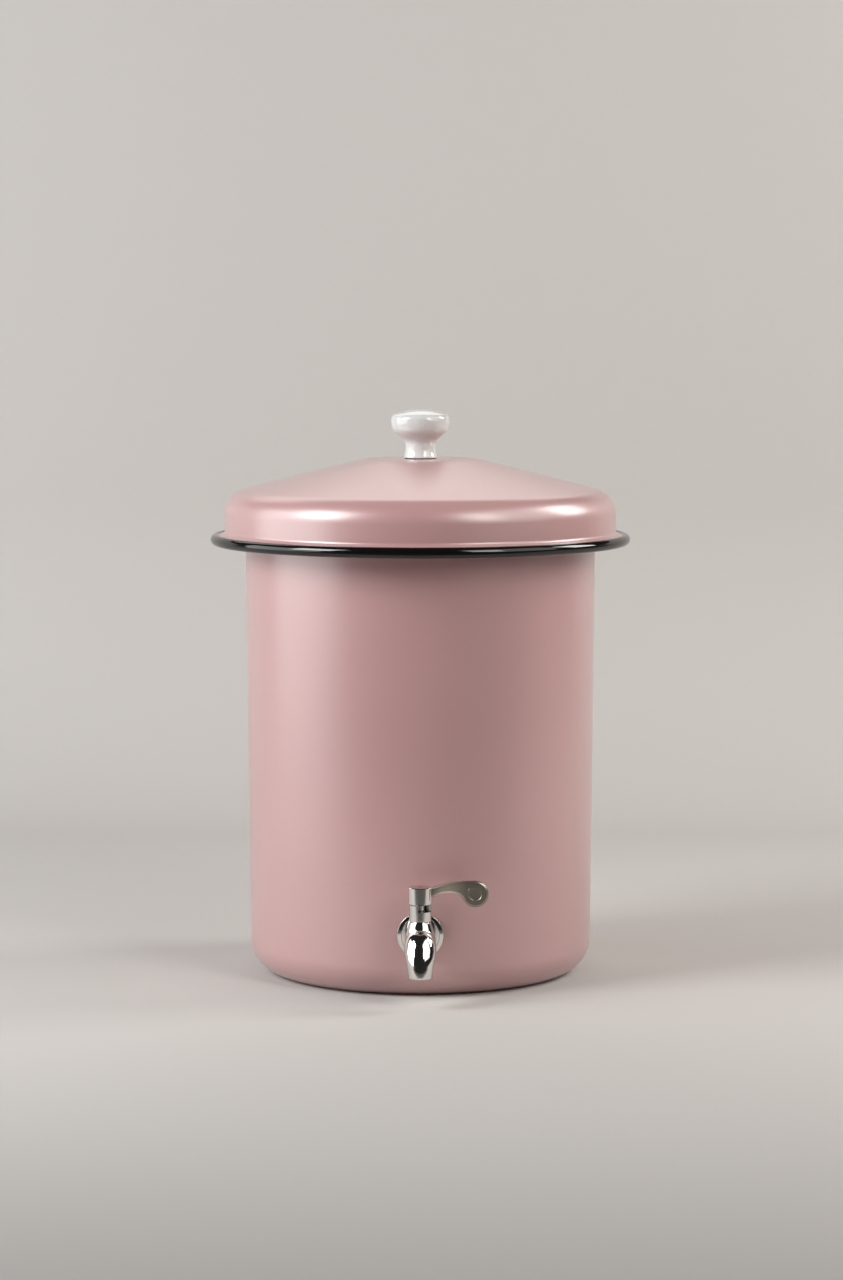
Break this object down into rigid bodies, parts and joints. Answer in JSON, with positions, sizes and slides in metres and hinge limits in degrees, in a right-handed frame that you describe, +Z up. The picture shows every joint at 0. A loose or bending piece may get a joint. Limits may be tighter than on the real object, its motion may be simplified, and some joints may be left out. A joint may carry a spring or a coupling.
{
  "type": "gravity water filter with tap",
  "caption": "Round enamelled steel gravity water filter: tall vessel, clay filter pot hung in its mouth, domed lid with a knob, side-lever tap near the foot.",
  "frame": {"origin": "on the floor under the vessel's axis", "axes": "+Z up along the vessel's axis, -Y towards the tap, +X towards the shut lever"},
  "size_m": [0.362, 0.3864, 0.4867],
  "materials": {
    "pink_enamel": "satin pink enamel on steel",
    "black_enamel": "gloss black enamel",
    "white_porcelain": "gloss white glaze",
    "fired_clay": "matt porous terracotta",
    "chrome_plate": "polished nickel-chrome plating",
    "satin_nickel": "satin plated lever",
    "stainless_steel": "turned stainless steel",
    "brass": "turned brass",
    "silicone": "translucent white silicone",
    "dark_rubber": "matt black rubber",
    "white_polymer": "low-friction white polymer"
  },
  "bodies": {
    "vessel": {"vessel_bottom": "pink_enamel", "vessel_wall": "pink_enamel", "vessel_rim": "pink_enamel", "pot_support_ring": "silicone", "tap_outer_seal": "silicone", "tap_inner_seal": "silicone", "tap_back_washer": "stainless_steel", "tap_back_nut": "stainless_steel", "tap_escutcheon": "chrome_plate", "tap_body": "chrome_plate", "valve_sleeve": "white_polymer", "thrust_washer": "white_polymer", "bonnet_seal": "silicone", "tap_bonnet": "chrome_plate"},
    "filter_pot": {"clay_filter_pot": "fired_clay"},
    "lid": {"lid_shell": "pink_enamel", "lid_edge_band": "black_enamel", "knob_washer": "dark_rubber", "lid_knob": "white_porcelain", "knob_insert": "brass", "lid_screw": "stainless_steel", "lid_screw_washer": "stainless_steel", "lid_screw_seal": "dark_rubber"},
    "tap_handle": {"handle_hub": "chrome_plate", "handle_screw": "stainless_steel", "stop_pin": "stainless_steel", "valve_stem": "stainless_steel", "stem_o_rings": "dark_rubber", "valve_plug": "brass", "lever_arm": "satin_nickel", "lever_medallion": "satin_nickel"}
  },
  "joints": [
    {"name": "pot_lift", "type": "slide", "parent": "vessel", "child": "filter_pot", "axis": [0, 0, 1], "range_m": [0, 0.24]},
    {"name": "lid_lift", "type": "slide", "parent": "filter_pot", "child": "lid", "axis": [0, 0, 1], "range_m": [0, 0.09]},
    {"name": "tap_turn", "type": "hinge", "parent": "vessel", "child": "tap_handle", "pos_m": [0, -0.17589, 0.0925], "axis": [0, 0, -1], "range_deg": [0, 90]}
  ]
}
